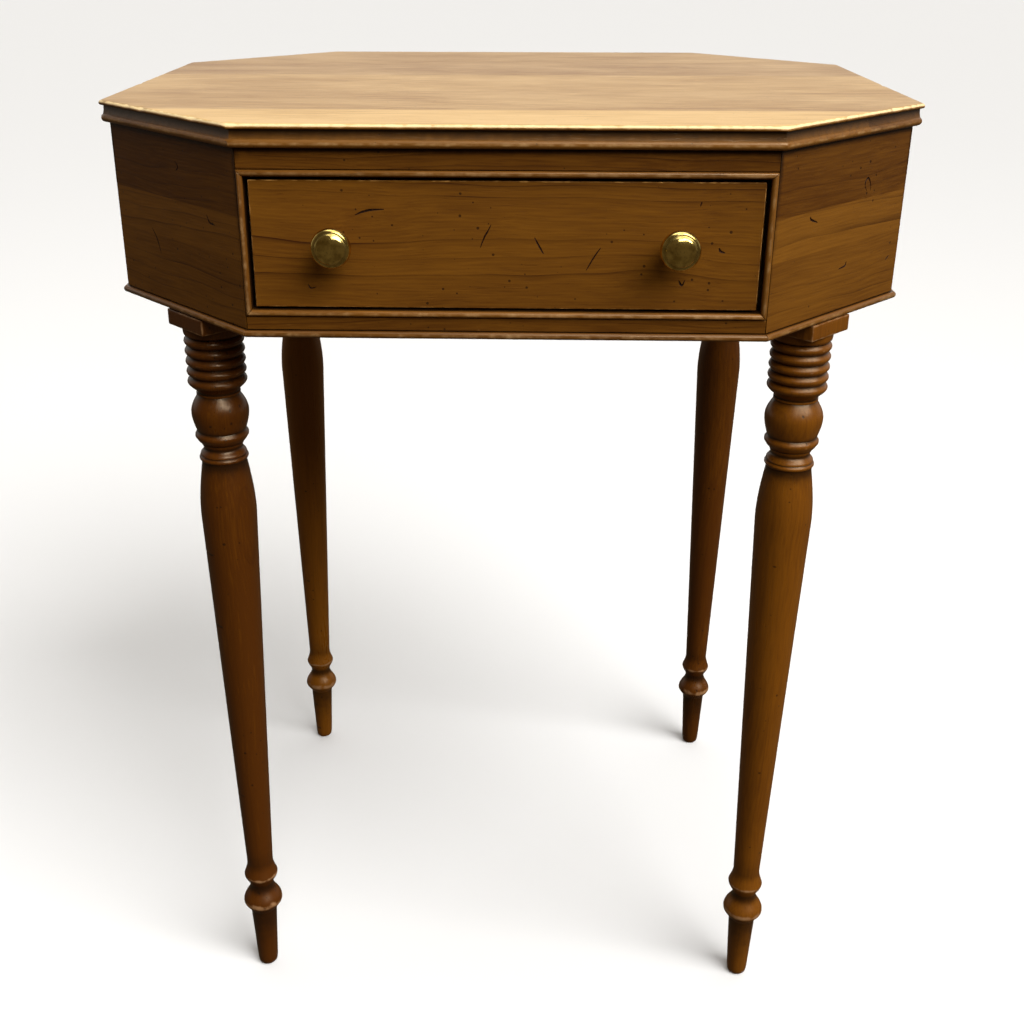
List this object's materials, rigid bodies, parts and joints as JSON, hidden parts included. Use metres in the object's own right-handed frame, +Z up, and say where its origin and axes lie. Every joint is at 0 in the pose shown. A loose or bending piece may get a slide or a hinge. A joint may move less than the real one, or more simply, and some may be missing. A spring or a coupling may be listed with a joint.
{
  "type": "occasional table",
  "caption": "Low wooden side table: clipped-corner top with a moulded edge, shallow case with a sliding drawer and brass knobs, and slender turned legs on peg feet.",
  "frame": {"origin": "on the floor, under the middle of the table's box with its knobs counted in", "axes": "+Z up, +X to the right and the drawer opening towards -Y, as seen from the front"},
  "size_m": [0.51, 0.4564, 0.66],
  "materials": {
    "top_wood": "satin, distressed",
    "case_wood": "satin, distressed",
    "moulding_wood": "satin, rubbed edges",
    "leg_wood": "satin, distressed",
    "drawer_front_wood": "satin, distressed",
    "inner_wood": "planed, unfinished",
    "drawer_box_wood": "planed, unfinished",
    "brass": "lightly tarnished",
    "steel": "zinc plated"
  },
  "bodies": {
    "table": {"top_panel": "top_wood", "front_upper_rail": "case_wood", "front_lower_rail": "case_wood", "back_panel": "case_wood", "side_panel_left": "case_wood", "side_panel_right": "case_wood", "corner_panel_front_left": "case_wood", "corner_panel_front_right": "case_wood", "corner_panel_rear_left": "case_wood", "corner_panel_rear_right": "case_wood", "base_strip_front": "moulding_wood", "base_strip_rear": "moulding_wood", "base_strip_left": "moulding_wood", "base_strip_right": "moulding_wood", "base_strip_front_left": "moulding_wood", "base_strip_front_right": "moulding_wood", "base_strip_rear_left": "moulding_wood", "base_strip_rear_right": "moulding_wood", "cock_bead_top": "moulding_wood", "cock_bead_bottom": "moulding_wood", "cock_bead_left": "moulding_wood", "cock_bead_right": "moulding_wood", "leg_front_left": "leg_wood", "leg_front_right": "leg_wood", "leg_rear_left": "leg_wood", "leg_rear_right": "leg_wood", "corner_block_front_left": "inner_wood", "corner_block_front_right": "inner_wood", "corner_block_rear_left": "inner_wood", "corner_block_rear_right": "inner_wood", "drawer_runner_left": "inner_wood", "drawer_runner_right": "inner_wood", "drawer_guide_left": "inner_wood", "drawer_guide_right": "inner_wood", "kicker_left": "inner_wood", "kicker_right": "inner_wood", "drawer_stop_left": "inner_wood", "drawer_stop_right": "inner_wood", "leg_bolt_front_left": "steel", "leg_bolt_front_right": "steel", "leg_bolt_rear_left": "steel", "leg_bolt_rear_right": "steel", "leg_nut_front_left": "steel", "leg_nut_front_right": "steel", "leg_nut_rear_left": "steel", "leg_nut_rear_right": "steel", "top_screw_1": "steel", "top_screw_2": "steel", "top_screw_3": "steel", "top_screw_4": "steel"},
    "drawer": {"drawer_front": "drawer_front_wood", "drawer_side_left": "drawer_box_wood", "drawer_side_right": "drawer_box_wood", "drawer_back": "drawer_box_wood", "drawer_bottom": "drawer_box_wood", "knob_left": "brass", "knob_right": "brass", "knob_screw_left": "steel", "knob_screw_right": "steel"}
  },
  "joints": [
    {"name": "drawer_slide", "type": "slide", "parent": "table", "child": "drawer", "axis": [0, -1, 0], "range_m": [0, 0.26]}
  ]
}
